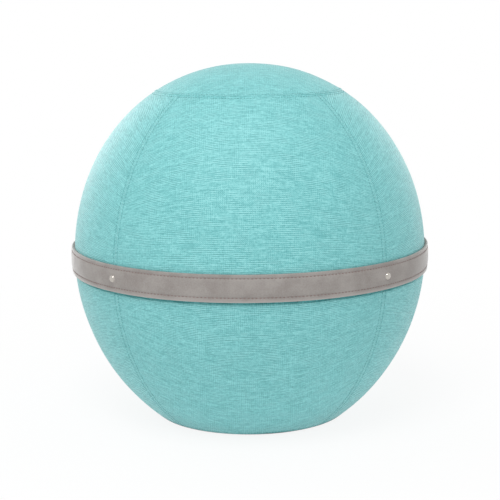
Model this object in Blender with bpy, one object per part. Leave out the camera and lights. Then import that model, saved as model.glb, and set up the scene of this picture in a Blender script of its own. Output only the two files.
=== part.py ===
"""Sitting ball: an air-filled ball in a zipped fabric cover, with a riveted carrying belt.

Metres, +Z up. The floor is z = 0, the ball's axis is Z and its front faces -Y.
The cover is a turned form: two superelliptic arcs that meet at the belt line,
cut flat where the weighted base stands on the floor.
"""
import math

import bmesh
import bpy
from mathutils import Matrix, Vector

# Driving dimensions of the ball
BALL_RADIUS = 0.275
CROWN_RISE = 0.2975
BELLY_DEPTH = 0.306
CROWN_FULLNESS = 2.06
BELLY_FULLNESS = 1.92
TOP_PANEL_RADIUS = 0.145
BASE_RADIUS = 0.149
FABRIC = 0.0014
BASE_CLOTH = 0.002
CLEARANCE = 0.0003

# Driving dimensions of the belt and its rivets
BELT_WIDTH = 0.040
BELT_STRAP = 0.0024
BELT_LINING = 0.0018
BELT_EDGE = 0.0006
BELT_LAP = 0.045
RIVET_RADIUS = 0.0055
RIVET_CROWN = 0.003
RIVET_LIP = 0.0006
RIVET_BACK_RADIUS = 0.005
RIVET_BACK = 0.001
RIVET_SHANK_RADIUS = 0.0015
RIVET_GRIP = 0.0014

# Driving dimensions of the bladder, its valve and the ballast
BLADDER_WALL = 0.0012
VALVE_RADIUS = 0.005
VALVE_BOSS_WALL = 0.004
VALVE_BOSS_HEIGHT = 0.011
PLUG_TIP_TAPER = 0.0008
PLUG_FLANGE_RADIUS = 0.0095
PLUG_FLANGE = 0.0018
PLUG_GRIP_RADIUS = 0.0035
PLUG_GRIP = 0.0045
BALLAST_HEIGHT = 0.022
BALLAST_HOLE_RADIUS = 0.040
BALLAST_MARGIN = 0.020
BALLAST_FULLNESS = 0.7
BALLAST_HEM = 0.008
BALLAST_HEM_CLOTH = 0.0015

# Driving dimensions of the zip
ZIP_SPAN = math.radians(135)
ZIP_PITCH = 0.005
TOOTH_GAP = 0.0005
TOOTH_FLARE = 0.0003
TOOTH_MESH = 0.002
TOOTH_NECK = 0.0014
TOOTH_BEAD = 0.0016
CHAIN_THICKNESS = 0.0024
TAPE_WIDTH = 0.0105
TAPE_THICKNESS = 0.0008
TAPE_SHOWING = 0.0045
TAPE_TAIL = 0.009
STOP_LENGTH = 0.003
STOP_CORNER = 0.0004
SLIDER_LENGTH = 0.015
SLIDER_WALL = 0.0011
SLIDER_PLAY = 0.0005
SLIDER_WEDGE = 0.0045
SLIDER_CORNER = 0.0014
BRIDGE_LENGTH = 0.008
BRIDGE_WIDTH = 0.0024
BRIDGE_BAR = 0.0012
TAB_LENGTH = 0.024
TAB_WIDTH = 0.008
TAB_THICKNESS = 0.0016
TAB_CORNER = 0.002

# Facets: every turned piece of the ball shares its columns, so that nested walls stay parallel
COLUMNS = 48
RIVET_SIDES = 16
VALVE_SIDES = 24
BALLAST_SIDES = 32
CROWN_STEPS = 4
SHOULDER_STEPS = 6
FLANK_STEPS = 6
BLADDER_UPPER_STEPS = 7
BLADDER_LOWER_STEPS = 5
RIVET_DOME_STEPS = 4
BALLAST_CROWN_STEPS = 8
CORNER_STEPS = 3
FACET_SAG = BALL_RADIUS * (1 - math.cos(math.pi / COLUMNS))
FACET_LEAN = math.tan(math.pi / COLUMNS)
SHARP_EDGE = math.radians(35)
MERGE_DISTANCE = 1e-6
HALVINGS = 48

QUARTER = math.pi / 2
BACK = QUARTER
SIDE_PANELS = {
    "cover_front_panel": -QUARTER,
    "cover_right_panel": 0.0,
    "cover_back_panel": QUARTER,
    "cover_left_panel": math.pi,
}
RIVET_PLACES = {
    "front_right": -QUARTER / 2,
    "back_right": QUARTER / 2,
    "back_left": 1.5 * QUARTER,
    "front_left": 2.5 * QUARTER,
}

for old in list(bpy.data.objects):
    bpy.data.objects.remove(old, do_unlink=True)


def finish(name, colour, roughness, metallic=0.0):
    """A Principled material with one colour."""
    made = bpy.data.materials.new(name)
    made.use_nodes = True
    shader = made.node_tree.nodes["Principled BSDF"]
    shader.inputs["Base Color"].default_value = (*colour, 1.0)
    shader.inputs["Roughness"].default_value = roughness
    shader.inputs["Metallic"].default_value = metallic
    made.diffuse_color = (*colour, 1.0)
    return made


TURQUOISE_WEAVE = finish("turquoise_weave", (0.24, 0.57, 0.58), 0.9)
GREY_LEATHERETTE = finish("grey_leatherette", (0.33, 0.30, 0.28), 0.55)
GREY_LINING = finish("grey_lining", (0.25, 0.23, 0.22), 0.85)
POLISHED_NICKEL = finish("polished_nickel", (0.80, 0.79, 0.76), 0.15, 1.0)
BLADDER_VINYL = finish("bladder_vinyl", (0.62, 0.64, 0.66), 0.4)
PLUG_VINYL = finish("plug_vinyl", (0.85, 0.85, 0.83), 0.4)
BALLAST_CANVAS = finish("ballast_canvas", (0.42, 0.38, 0.31), 0.9)
BASE_COATED_CLOTH = finish("base_coated_cloth", (0.03, 0.03, 0.032), 0.75)
ZIP_TAPE_CLOTH = finish("zip_tape_cloth", (0.16, 0.40, 0.41), 0.85)
ZIP_MOULDED = finish("zip_moulded", (0.20, 0.45, 0.46), 0.4)
ZIP_CAST = finish("zip_cast", (0.55, 0.55, 0.54), 0.3, 1.0)

BALL = bpy.data.objects.new("sitting_ball", None)
bpy.context.collection.objects.link(BALL)


def add_piece(name, bm, material, place=Matrix.Identity(4), parent=BALL):
    """Turns a bmesh into one named object, shaded smooth with its edges kept sharp."""
    bmesh.ops.recalc_face_normals(bm, faces=bm.faces)
    mesh = bpy.data.meshes.new(name)
    bm.to_mesh(mesh)
    bm.free()
    mesh.shade_smooth()
    mesh.set_sharp_from_angle(angle=SHARP_EDGE)
    mesh.materials.append(material)
    piece = bpy.data.objects.new(name, mesh)
    bpy.context.collection.objects.link(piece)
    piece.parent = parent
    piece.matrix_local = place
    return piece


def cut(piece, cutter, operation="DIFFERENCE"):
    """Adds a Boolean modifier and hides the cutter."""
    cutter.hide_render = True
    cutter.display_type = "WIRE"
    boolean = piece.modifiers.new(cutter.name, "BOOLEAN")
    boolean.object = cutter
    boolean.operation = operation
    boolean.solver = "EXACT"


def turned(section, sides):
    """A full turn of an (r, z) section about Z: a closed loop, or a line from pole to pole."""
    bm = bmesh.new()
    on_axis = section[0][0] == 0 and section[-1][0] == 0
    line = [bm.verts.new((r, 0, z)) for r, z in section]
    edges = [bm.edges.new(pair) for pair in zip(line, line[1:])]
    if not on_axis:
        edges.append(bm.edges.new((line[-1], line[0])))
    bmesh.ops.spin(
        bm, geom=line + edges, axis=(0, 0, 1), cent=(0, 0, 0), angle=2 * math.pi, steps=sides
    )
    bmesh.ops.remove_doubles(bm, verts=bm.verts, dist=MERGE_DISTANCE)
    return bm


def lofted(rings):
    """A closed skin through like rings of points, with a cap on each end."""
    bm = bmesh.new()
    loops = [[bm.verts.new(point) for point in ring] for ring in rings]
    count = len(loops[0])
    for near, far in zip(loops, loops[1:]):
        for i in range(count):
            j = (i + 1) % count
            bm.faces.new((near[i], near[j], far[j], far[i]))
    bm.faces.new(reversed(loops[0]))
    bm.faces.new(loops[-1])
    return bm


def swept_sector(section, start, sweep, steps):
    """An (r, z) section carried round Z over part of a turn."""
    rings = []
    for i in range(steps + 1):
        turn = start + sweep * i / steps
        rings.append([(r * math.cos(turn), r * math.sin(turn), z) for r, z in section])
    return lofted(rings)


def extruded(outline, low, high):
    """A flat (x, y) outline raised from z = low to z = high."""
    return lofted([[(x, y, z) for x, y in outline] for z in (low, high)])


def rounded_rectangle(low, high, corner):
    """The (x, y) outline of a rectangle with round corners."""
    centres = (
        (high[0] - corner, high[1] - corner),
        (low[0] + corner, high[1] - corner),
        (low[0] + corner, low[1] + corner),
        (high[0] - corner, low[1] + corner),
    )
    outline = []
    for number, (x, y) in enumerate(centres):
        for step in range(CORNER_STEPS + 1):
            turn = QUARTER * (number + step / CORNER_STEPS)
            outline.append((x + corner * math.cos(turn), y + corner * math.sin(turn)))
    return outline


def cover_point(turn, inward=0.0):
    """Point of the cover's profile as (r, z) from the belt line's centre.

    turn runs from 0 at the crown, through a quarter at the belt line, to a half at the bottom.
    inward moves the point in along the surface's normal.
    """
    above = turn <= QUARTER
    fullness = CROWN_FULLNESS if above else BELLY_FULLNESS
    reach = CROWN_RISE if above else -BELLY_DEPTH
    out, along = abs(math.sin(turn)), abs(math.cos(turn))
    point = Vector((BALL_RADIUS * out ** (2 / fullness), reach * along ** (2 / fullness)))
    bend = 2 - 2 / fullness
    normal = Vector((out**bend / BALL_RADIUS, along**bend / reach)).normalized()
    return point - inward * normal


def turn_at_radius(radius, below=False):
    """Where the cover has this outside radius, above or below the belt line."""
    fullness = BELLY_FULLNESS if below else CROWN_FULLNESS
    turn = math.asin((radius / BALL_RADIUS) ** (fullness / 2))
    return math.pi - turn if below else turn


def turn_where(is_past, low, high):
    """The turn between low and high at which is_past becomes true, by halving."""
    for _ in range(HALVINGS):
        middle = (low + high) / 2
        if is_past(middle):
            high = middle
        else:
            low = middle
    return (low + high) / 2


def profile(start, end, steps, inward=0.0):
    """Points of the cover's profile at even turns."""
    return [cover_point(start + (end - start) * i / steps, inward) for i in range(steps + 1)]


BASE_TURN = turn_at_radius(BASE_RADIUS, below=True)
BELT_HEIGHT = -cover_point(BASE_TURN).y
AT_BELT_LINE = Matrix.Translation((0, 0, BELT_HEIGHT))
BASE_TOP = BASE_CLOTH + CLEARANCE
HEM_TURN = turn_where(
    lambda turn: cover_point(turn).y + BELT_HEIGHT < BASE_TOP, QUARTER, math.pi
)

# The zip lies in a straight sided slot between the hem and the base panel's rim.
# Its own frame has x along the chain, y up the slope and z out of the cover.
CHAIN_HALF = TOOTH_MESH / 2 + TOOTH_NECK + TOOTH_BEAD
TAPE_START = CHAIN_HALF + CLEARANCE
ZIP_LIFT = TAPE_START + TAPE_WIDTH
SLOT_REACH = ZIP_LIFT + TAPE_START + TAPE_SHOWING
HEM_POINT = cover_point(HEM_TURN)


def turn_up_flank(distance):
    """Where the flank is this far, in a straight line, from the panels' lower edge."""
    return turn_where(
        lambda turn: (cover_point(turn) - HEM_POINT).length < distance, QUARTER, HEM_TURN
    )


SLOT_TURN = turn_up_flank(SLOT_REACH)
TUCK_TURN = turn_up_flank(SLOT_REACH + TAPE_WIDTH)
SLOT_TOP = cover_point(SLOT_TURN)
SLOPE = (SLOT_TOP - HEM_POINT).normalized()
OUTWARD = Vector((SLOPE.y, -SLOPE.x))
HEM_DIP = (SLOT_TOP - cover_point(TUCK_TURN)).dot(OUTWARD)
ZIP_INSET = FABRIC + CLEARANCE + FACET_SAG + HEM_DIP + TAPE_THICKNESS / 2
ZIP_CENTRE = HEM_POINT + SLOPE * ZIP_LIFT - OUTWARD * ZIP_INSET
ZIP_RADIUS = ZIP_CENTRE.x
SLOT_HALF_ANGLE = ZIP_SPAN / 2
SLOT_LENGTH = ZIP_RADIUS * ZIP_SPAN

SLIDER_AT = STOP_LENGTH + TAPE_SHOWING + SLIDER_LENGTH / 2
CHAIN_START = SLIDER_AT - SLIDER_LENGTH / 2 + SLIDER_WEDGE + SLIDER_PLAY
TOOTH_COUNT = int((SLOT_LENGTH - CHAIN_START - STOP_LENGTH - TAPE_SHOWING) / ZIP_PITCH)
CHAIN_END = CHAIN_START + TOOTH_COUNT * ZIP_PITCH
CLOSED_STOP_START = SLIDER_AT - SLIDER_LENGTH / 2 - CLEARANCE - STOP_LENGTH
OPEN_STOP_START = CHAIN_END + CLEARANCE

CHANNEL_TOP = CHAIN_THICKNESS / 2 + SLIDER_PLAY
SLIDER_TOP = CHANNEL_TOP + SLIDER_WALL
TAB_BAR_RADIUS = TAB_THICKNESS / 2
PIVOT_HEIGHT = SLIDER_TOP + CLEARANCE + SLIDER_PLAY + TAB_BAR_RADIUS
ARCH_HEIGHT = PIVOT_HEIGHT + TAB_BAR_RADIUS + SLIDER_PLAY


def zip_turn(along):
    """The bearing of a place on the zip, measured along its chain from the slot's closed end."""
    return BACK - SLOT_HALF_ANGLE + along / ZIP_RADIUS


def on_zip(along, across, out=0.0):
    """A point of the zip's own frame, laid round the cover's cone, from the belt line's centre."""
    r, z = ZIP_CENTRE + SLOPE * across + OUTWARD * out
    turn = zip_turn(along)
    return Vector((r * math.cos(turn), r * math.sin(turn), z))


def zip_frame(along):
    """The place of a rigid piece on the zip: x along the chain, y up the slope, z outwards."""
    turn = zip_turn(along)
    chain = Vector((-math.sin(turn), math.cos(turn), 0))
    up = Vector((SLOPE.x * math.cos(turn), SLOPE.x * math.sin(turn), SLOPE.y))
    out = chain.cross(up)
    frame = Matrix((chain, up, out)).transposed().to_4x4()
    frame.translation = on_zip(along, 0)
    return frame


def make_cover():
    """A round top panel, four side panels between seams, and the base the ball stands on."""
    seam = CLEARANCE / 2
    top_turn = turn_at_radius(TOP_PANEL_RADIUS - seam)
    top = profile(0, top_turn, CROWN_STEPS)
    top += reversed(profile(0, top_turn, CROWN_STEPS, FABRIC))
    add_piece("cover_top_panel", turned(top, COLUMNS), TURQUOISE_WEAVE, AT_BELT_LINE)

    shoulder_turn = turn_at_radius(TOP_PANEL_RADIUS + seam)
    side = []
    for inward in (0.0, FABRIC):
        half = profile(shoulder_turn, QUARTER, SHOULDER_STEPS, inward)
        half += profile(QUARTER, TUCK_TURN, FLANK_STEPS, inward)[1:]
        half += [cover_point(turn, inward) for turn in (SLOT_TURN, HEM_TURN)]
        side += reversed(half) if inward else half
    seam_turn = seam / TOP_PANEL_RADIUS
    sweep = QUARTER - 2 * seam_turn
    for name, middle in SIDE_PANELS.items():
        bm = swept_sector(side, middle - sweep / 2, sweep, COLUMNS // 4)
        add_piece(name, bm, TURQUOISE_WEAVE, AT_BELT_LINE)

    slot_top = SLOT_TOP - SLOPE * CLEARANCE
    slot_foot = HEM_POINT - SLOPE * SLOT_REACH
    slot = [
        slot_top + OUTWARD * SLOT_REACH,
        slot_top - OUTWARD * SLOT_REACH,
        slot_foot - OUTWARD * SLOT_REACH,
        slot_foot + OUTWARD * SLOT_REACH,
    ]
    bm = swept_sector(slot, BACK - SLOT_HALF_ANGLE, ZIP_SPAN, COLUMNS)
    slot_cutter = add_piece("zip_slot_cutter", bm, TURQUOISE_WEAVE, AT_BELT_LINE)
    for name in ("cover_right_panel", "cover_back_panel", "cover_left_panel"):
        cut(bpy.data.objects[name], slot_cutter)

    rim = Vector((BASE_RADIUS, 0))
    lip = rim + Vector((SLOPE.x / SLOPE.y * BASE_CLOTH, BASE_CLOTH))
    base = [(0, BASE_CLOTH), lip, rim, (0, 0)]
    add_piece("cover_base_panel", turned(base, COLUMNS), BASE_COATED_CLOTH)


def belt_ring(turn, inner, thickness, edge=0.0):
    """The belt's section at one bearing: a flat band, with its outer edges softened if edge is set."""
    half = BELT_WIDTH / 2
    outer = inner + thickness
    section = [(inner, -half), (inner, half)]
    if edge:
        section += [(outer - edge, half), (outer, half - edge)]
        section += [(outer, edge - half), (outer - edge, -half)]
    else:
        section += [(outer, half), (outer, -half)]
    return [(r * math.cos(turn), r * math.sin(turn), z) for r, z in section]


def make_belt():
    """A leatherette strap, lapped at the back, on a lining that stops where the strap laps."""
    lining_inner = BALL_RADIUS + CLEARANCE
    strap_inner = lining_inner + BELT_LINING + CLEARANCE
    lapped_inner = lining_inner + BELT_STRAP + CLEARANCE
    step = 2 * math.pi / COLUMNS
    lap = BELT_LAP / strap_inner
    ramp = step / 2
    tuck_start, tuck_end = BACK - lap / 2, BACK + lap / 2
    lining_gap = lap / 2 + ramp + CLEARANCE / strap_inner
    whole = [BACK + i * step for i in range(1, COLUMNS)]

    turns = [BACK + lining_gap]
    turns += [t for t in whole if lining_gap < t - BACK < 2 * math.pi - lining_gap]
    turns.append(BACK + 2 * math.pi - lining_gap)
    rings = [belt_ring(t, lining_inner, BELT_LINING) for t in turns]
    add_piece("belt_lining", lofted(rings), GREY_LINING, AT_BELT_LINE)

    path = [(t, lining_inner) for t in (tuck_start, BACK, tuck_end)]
    path.append((tuck_end + ramp, strap_inner))
    path += [(t, strap_inner) for t in whole if lining_gap < t - BACK < 2 * math.pi - lining_gap]
    path.append((tuck_start - ramp + 2 * math.pi, strap_inner))
    path += [(t + 2 * math.pi, lapped_inner) for t in (tuck_start, BACK, tuck_end)]
    rings = [belt_ring(t, inner, BELT_STRAP, BELT_EDGE) for t, inner in path]
    add_piece("belt_strap", lofted(rings), GREY_LEATHERETTE, AT_BELT_LINE)
    return strap_inner + BELT_STRAP


def make_rivets(belt_outside):
    """Two-part rivets that hold the belt to the cover on its side seams."""
    seat = belt_outside + CLEARANCE
    socket = RIVET_SHANK_RADIUS + CLEARANCE
    back_face = BALL_RADIUS - FABRIC - RIVET_BACK_RADIUS * FACET_LEAN - CLEARANCE
    dome_radius = (RIVET_RADIUS**2 + RIVET_CROWN**2) / (2 * RIVET_CROWN)
    dome_half = math.asin(RIVET_RADIUS / dome_radius)
    dome = [
        (
            dome_radius * math.sin(dome_half * i / RIVET_DOME_STEPS),
            RIVET_LIP + RIVET_CROWN - dome_radius * (1 - math.cos(dome_half * i / RIVET_DOME_STEPS)),
        )
        for i in range(RIVET_DOME_STEPS + 1)
    ]
    socket_top = RIVET_GRIP + CLEARANCE
    cap = dome + [(RIVET_RADIUS, 0), (socket, 0), (socket, socket_top), (0, socket_top)]
    shank_top = seat + RIVET_GRIP
    post = [
        (0, shank_top),
        (RIVET_SHANK_RADIUS, shank_top),
        (RIVET_SHANK_RADIUS, back_face),
        (RIVET_BACK_RADIUS, back_face),
        (RIVET_BACK_RADIUS, back_face - RIVET_BACK),
        (0, back_face - RIVET_BACK),
    ]
    drill = [(0, seat), (socket, seat), (socket, back_face), (0, back_face)]
    for place, turn in RIVET_PLACES.items():
        outwards = AT_BELT_LINE @ Matrix.Rotation(turn, 4, "Z") @ Matrix.Rotation(QUARTER, 4, "Y")
        at_seat = outwards @ Matrix.Translation((0, 0, seat))
        add_piece(f"rivet_cap_{place}", turned(cap, RIVET_SIDES), POLISHED_NICKEL, at_seat)
        add_piece(f"rivet_post_{place}", turned(post, RIVET_SIDES), POLISHED_NICKEL, outwards)
        cutter = add_piece(f"rivet_drill_{place}", turned(drill, RIVET_SIDES), POLISHED_NICKEL, outwards)
        for name in (*SIDE_PANELS, "belt_strap", "belt_lining"):
            middle = SIDE_PANELS.get(name, turn)
            if math.cos(middle - turn) > 0:
                cut(bpy.data.objects[name], cutter)


def make_bladder():
    """The air ball: one vinyl skin, flattened on the ballast, with a valve boss in its floor."""
    rivet_room = RIVET_BACK_RADIUS * FACET_LEAN + RIVET_BACK + 2 * CLEARANCE
    floor = BASE_TOP + BALLAST_HEIGHT + CLEARANCE - BELT_HEIGHT
    skin = []
    for depth in (0.0, BLADDER_WALL):
        inward, level = FABRIC + rivet_room + depth, floor + depth
        foot_turn = turn_where(lambda turn: cover_point(turn, inward).y < level, QUARTER, math.pi)
        wall = profile(0, QUARTER, BLADDER_UPPER_STEPS, inward)
        wall += profile(QUARTER, foot_turn, BLADDER_LOWER_STEPS, inward)[1:]
        skin.append(wall)
    boss_radius = VALVE_RADIUS + VALVE_BOSS_WALL
    boss_top = floor + VALVE_BOSS_HEIGHT
    valve = [
        (VALVE_RADIUS, floor),
        (VALVE_RADIUS, boss_top),
        (boss_radius, boss_top),
        (boss_radius, floor + BLADDER_WALL),
    ]
    section = skin[0] + valve + list(reversed(skin[1]))
    add_piece("bladder", turned(section, COLUMNS), BLADDER_VINYL, AT_BELT_LINE)

    tip = VALVE_BOSS_HEIGHT - CLEARANCE
    stem_radius = VALVE_RADIUS - CLEARANCE
    grip_foot = -PLUG_FLANGE - PLUG_GRIP
    plug = [
        (0, tip),
        (stem_radius - PLUG_TIP_TAPER, tip),
        (stem_radius, 0),
        (PLUG_FLANGE_RADIUS, 0),
        (PLUG_FLANGE_RADIUS, -PLUG_FLANGE),
        (PLUG_GRIP_RADIUS, -PLUG_FLANGE),
        (PLUG_GRIP_RADIUS, grip_foot),
        (0, grip_foot),
    ]
    seat = AT_BELT_LINE @ Matrix.Translation((0, 0, floor - CLEARANCE))
    add_piece("valve_plug", turned(plug, VALVE_SIDES), PLUG_VINYL, seat)


def make_ballast():
    """A sand-filled ring pouch with sewn hems, flat on the base panel round the valve."""
    outer = BASE_RADIUS - BALLAST_MARGIN
    middle = (outer + BALLAST_HOLE_RADIUS) / 2
    half = (outer - BALLAST_HOLE_RADIUS) / 2
    swell = BALLAST_HEIGHT - BALLAST_HEM_CLOTH
    crown = [
        (
            middle + half * math.cos(math.pi * i / BALLAST_CROWN_STEPS),
            BALLAST_HEM_CLOTH + swell * math.sin(math.pi * i / BALLAST_CROWN_STEPS) ** BALLAST_FULLNESS,
        )
        for i in range(BALLAST_CROWN_STEPS + 1)
    ]
    hem_out, hem_in = outer + BALLAST_HEM, BALLAST_HOLE_RADIUS - BALLAST_HEM
    section = [(hem_out, 0), (hem_out, BALLAST_HEM_CLOTH)]
    section += crown + [(hem_in, BALLAST_HEM_CLOTH), (hem_in, 0)]
    on_base = Matrix.Translation((0, 0, BASE_TOP))
    add_piece("ballast_ring", turned(section, BALLAST_SIDES), BALLAST_CANVAS, on_base)


def wrapped_strip(cells, thickness, name, material):
    """Flat cells of (along, across) corners, laid on the zip's cone and given their thickness."""
    bm = bmesh.new()
    for cell in cells:
        bm.faces.new([bm.verts.new(on_zip(*corner)) for corner in cell])
    bmesh.ops.remove_doubles(bm, verts=bm.verts, dist=MERGE_DISTANCE)
    piece = add_piece(name, bm, material, AT_BELT_LINE)
    wall = piece.modifiers.new("thickness", "SOLIDIFY")
    wall.thickness = thickness
    wall.offset = 0
    return piece


def make_zip_tapes():
    """Two woven tapes, closed past the stops: one under the hem, one down to the base panel."""
    start, end = -TAPE_TAIL, SLOT_LENGTH + TAPE_TAIL
    closed_end = CLOSED_STOP_START - CLEARANCE
    open_end = OPEN_STOP_START + STOP_LENGTH + CLEARANCE
    even = [closed_end + (open_end - closed_end) * i / COLUMNS for i in range(COLUMNS + 1)]
    marks = [start, *even, end]
    reach_down = (ZIP_CENTRE - SLOPE * ZIP_LIFT).y + BELT_HEIGHT - BASE_TOP - TAPE_THICKNESS
    to_base = reach_down / SLOPE.y
    for name, side, extra in (("zip_upper_tape", 1, 0.0), ("zip_lower_tape", -1, to_base)):
        edge = side * CLEARANCE
        near, far = side * TAPE_START, side * (TAPE_START + TAPE_WIDTH + extra)
        cells = [((a, near), (b, near), (b, far), (a, far)) for a, b in zip(marks, marks[1:])]
        for a, b in ((start, closed_end), (open_end, end)):
            cells.append(((a, edge), (b, edge), (b, near), (a, near)))
        wrapped_strip(cells, TAPE_THICKNESS, name, ZIP_TAPE_CLOTH)


def make_zip_teeth():
    """Two combs of moulded teeth, each tooth flared at its tip and set between two of the other's."""
    width = ZIP_PITCH / 2 - TOOTH_GAP
    neck, tip = width - TOOTH_FLARE, width + TOOTH_FLARE
    root = CHAIN_HALF - TOOTH_BEAD
    first = CHAIN_START + ZIP_PITCH / 4
    facing = first + ZIP_PITCH / 2
    for name, side, start in (("zip_upper_teeth", 1, first), ("zip_lower_teeth", -1, facing)):
        inner, outer = side * root, side * CHAIN_HALF
        reach = -side * TOOTH_MESH / 2
        cells = []
        last = CHAIN_START
        for number in range(TOOTH_COUNT):
            centre = start + ZIP_PITCH * number
            left, right = centre - neck / 2, centre + neck / 2
            cells.append(((last, inner), (left, inner), (left, outer), (last, outer)))
            cells.append(((left, inner), (right, inner), (right, outer), (left, outer)))
            cells.append(
                ((centre - tip / 2, reach), (centre + tip / 2, reach), (right, inner), (left, inner))
            )
            last = right
        cells.append(((last, inner), (CHAIN_END, inner), (CHAIN_END, outer), (last, outer)))
        wrapped_strip(cells, CHAIN_THICKNESS, name, ZIP_MOULDED)


def make_zip_stops():
    """Clips ahead of the closed slider on each tape, and one that joins the chains at the far end."""
    half_length = STOP_LENGTH / 2
    inner = TOOTH_MESH / 2
    for name, start, low, high in (
        ("zip_upper_stop", CLOSED_STOP_START, inner, CHAIN_HALF),
        ("zip_lower_stop", CLOSED_STOP_START, -CHAIN_HALF, -inner),
        ("zip_end_stop", OPEN_STOP_START, -CHAIN_HALF, CHAIN_HALF),
    ):
        outline = rounded_rectangle((-half_length, low), (half_length, high), STOP_CORNER)
        bm = extruded(outline, -CHANNEL_TOP, CHANNEL_TOP)
        add_piece(name, bm, ZIP_CAST, AT_BELT_LINE @ zip_frame(start + half_length))


def make_zip_slider():
    """A cast slider round both chains, with the wedge that parts them and the bridge for its tab."""
    channel_half = CHAIN_HALF + SLIDER_PLAY
    body_half = channel_half + SLIDER_WALL
    body_end = SLIDER_LENGTH / 2
    past = SLIDER_WALL + body_end
    place = AT_BELT_LINE @ zip_frame(SLIDER_AT)

    axis = Matrix.Translation((0, 0, place.translation.z))
    zip_axis = bpy.data.objects.new("zip_axis", None)
    bpy.context.collection.objects.link(zip_axis)
    zip_axis.parent = BALL
    zip_axis.matrix_local = axis

    outline = rounded_rectangle((-body_end, -body_half), (body_end, body_half), SLIDER_CORNER)
    body = extruded(outline, -SLIDER_TOP, SLIDER_TOP)
    slider = add_piece("zip_slider", body, ZIP_CAST, axis.inverted() @ place, zip_axis)

    wedge_half = TOOTH_MESH / 2 + TOOTH_NECK - SLIDER_PLAY
    wedge_tip = SLIDER_WEDGE - body_end
    channel = [
        (past, -channel_half),
        (past, channel_half),
        (-past, channel_half),
        (-past, wedge_half),
        (wedge_tip - wedge_half, wedge_half),
        (wedge_tip, 0),
        (wedge_tip - wedge_half, -wedge_half),
        (-past, -wedge_half),
        (-past, -channel_half),
    ]
    bm = extruded(channel, -CHANNEL_TOP, CHANNEL_TOP)
    cut(slider, add_piece("slider_channel_cutter", bm, ZIP_CAST, parent=slider))
    slot_height = TAPE_THICKNESS / 2 + SLIDER_PLAY
    for side, name in ((-1, "slider_lower_tape_cutter"), (1, "slider_upper_tape_cutter")):
        near, far = side * CHAIN_HALF, side * (body_half + SLIDER_WALL)
        bm = extruded([(-past, near), (past, near), (past, far), (-past, far)], -slot_height, slot_height)
        cut(slider, add_piece(name, bm, ZIP_CAST, parent=slider))

    bridge_half = BRIDGE_LENGTH / 2
    arch_half = bridge_half - BRIDGE_BAR
    sunk = SLIDER_TOP - SLIDER_WALL / 2
    arch = [
        (bridge_half, sunk),
        (bridge_half, ARCH_HEIGHT),
        (arch_half, ARCH_HEIGHT + BRIDGE_BAR),
        (-arch_half, ARCH_HEIGHT + BRIDGE_BAR),
        (-bridge_half, ARCH_HEIGHT),
        (-bridge_half, sunk),
        (-arch_half, sunk),
        (-arch_half, ARCH_HEIGHT),
        (arch_half, ARCH_HEIGHT),
        (arch_half, sunk),
    ]
    bm = extruded(arch, -BRIDGE_WIDTH / 2, BRIDGE_WIDTH / 2)
    bridge = add_piece("slider_bridge", bm, ZIP_CAST, Matrix.Rotation(QUARTER, 4, "X"), slider)
    cut(slider, bridge, "UNION")
    return slider


def make_pull_tab(slider):
    """A flat tab whose end bar turns under the slider's bridge, through a window in the tab."""
    pivot = Matrix.Translation((0, 0, PIVOT_HEIGHT))
    half = TAB_WIDTH / 2
    outline = rounded_rectangle((-TAB_BAR_RADIUS, -half), (TAB_LENGTH, half), TAB_CORNER)
    bm = extruded(outline, -TAB_BAR_RADIUS, TAB_BAR_RADIUS)
    tab = add_piece("zip_pull_tab", bm, ZIP_CAST, pivot, slider)

    window_half = BRIDGE_WIDTH / 2 + SLIDER_PLAY
    bridge_rise = ARCH_HEIGHT + BRIDGE_BAR - PIVOT_HEIGHT
    near, far = TAB_BAR_RADIUS, math.hypot(BRIDGE_LENGTH / 2, bridge_rise) + SLIDER_PLAY
    window = [(near, -window_half), (far, -window_half), (far, window_half), (near, window_half)]
    bm = extruded(window, -TAB_THICKNESS, TAB_THICKNESS)
    cut(tab, add_piece("tab_window_cutter", bm, ZIP_CAST, pivot, slider))


make_cover()
make_rivets(make_belt())
make_bladder()
make_ballast()
make_zip_tapes()
make_zip_teeth()
make_zip_stops()
make_pull_tab(make_zip_slider())
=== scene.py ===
"""A sitting ball in its sewn cover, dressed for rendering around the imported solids.

Metres, +Z up, the floor at z = 0 and the front of the ball towards -Y.
The sections follow the making: the cover is sewn, the base and the zip go in, the belt is
riveted on, and the ballast and the air ball go inside.
"""
import math

import bmesh
import bpy
import numpy as np
from mathutils import Matrix, Vector, noise


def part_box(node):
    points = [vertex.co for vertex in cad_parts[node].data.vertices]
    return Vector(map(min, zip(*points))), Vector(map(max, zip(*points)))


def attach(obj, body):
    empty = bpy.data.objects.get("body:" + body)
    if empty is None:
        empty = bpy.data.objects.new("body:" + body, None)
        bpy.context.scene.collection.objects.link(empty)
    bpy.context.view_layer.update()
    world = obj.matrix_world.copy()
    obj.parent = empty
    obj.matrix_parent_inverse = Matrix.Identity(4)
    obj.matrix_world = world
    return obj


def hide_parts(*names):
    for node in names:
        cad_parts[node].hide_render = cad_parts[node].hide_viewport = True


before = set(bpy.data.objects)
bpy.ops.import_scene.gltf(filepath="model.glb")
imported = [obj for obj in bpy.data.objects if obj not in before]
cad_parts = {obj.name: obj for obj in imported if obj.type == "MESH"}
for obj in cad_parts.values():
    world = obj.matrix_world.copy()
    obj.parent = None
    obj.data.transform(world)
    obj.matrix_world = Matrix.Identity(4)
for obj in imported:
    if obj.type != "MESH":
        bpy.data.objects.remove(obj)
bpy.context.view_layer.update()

# Side panels of the cover: four gores of heathered polyester upholstery cloth, cut with the weft across.
# They are sewn on the seams at 45 degrees to the front, with the allowances turned inside and held flat
# by a stitch row on each side, so each seam is a slightly raised band between two stitched grooves.
QUARTER = math.tau / 4
FRONT, BACK = -QUARTER, QUARTER
side_panels = {
    "cover_front_panel": FRONT,
    "cover_right_panel": 0.0,
    "cover_back_panel": BACK,
    "cover_left_panel": math.pi,
}
belt_low, belt_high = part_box("belt_strap")
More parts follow.
